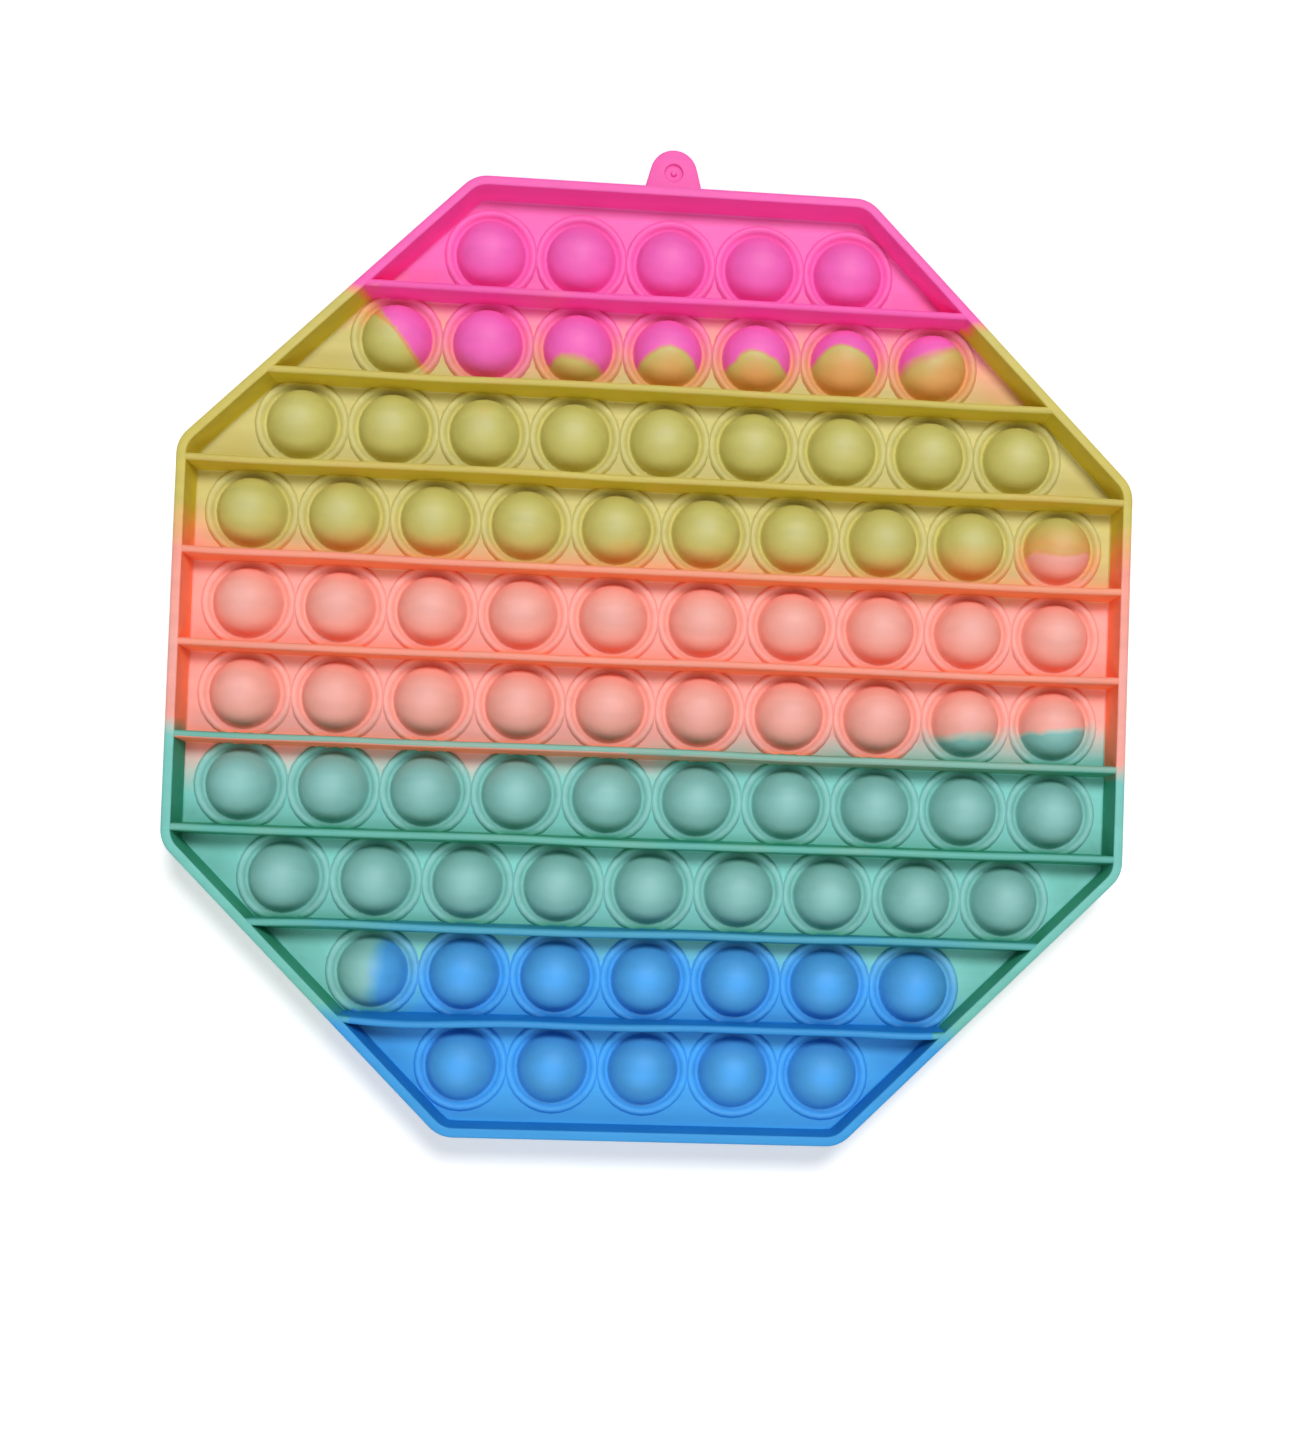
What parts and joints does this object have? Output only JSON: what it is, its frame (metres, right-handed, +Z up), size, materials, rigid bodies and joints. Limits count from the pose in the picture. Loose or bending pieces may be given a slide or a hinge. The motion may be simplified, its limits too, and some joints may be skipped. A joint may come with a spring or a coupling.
{
  "type": "bubble pop fidget toy",
  "caption": "Flat octagonal silicone fidget mat: rows of hollow domes to press through, straight ribs between the rows, a raised rim on both faces and a small end tab.",
  "frame": {"origin": "centre of the octagon on the plane that the mat rests on, under the middle rib of the back face", "axes": "+Z up through the thickness with the domes upwards, +Y along the mat towards the tab, +X along the ribs"},
  "size_m": [0.2, 0.2105, 0.015],
  "materials": {
    "silicone_rubber": "matte moulded silicone rubber in flowing bands of pink, yellow, peach, mint and blue"
  },
  "bodies": {
    "root": {"bubble_mat": "silicone_rubber"}
  },
  "joints": []
}
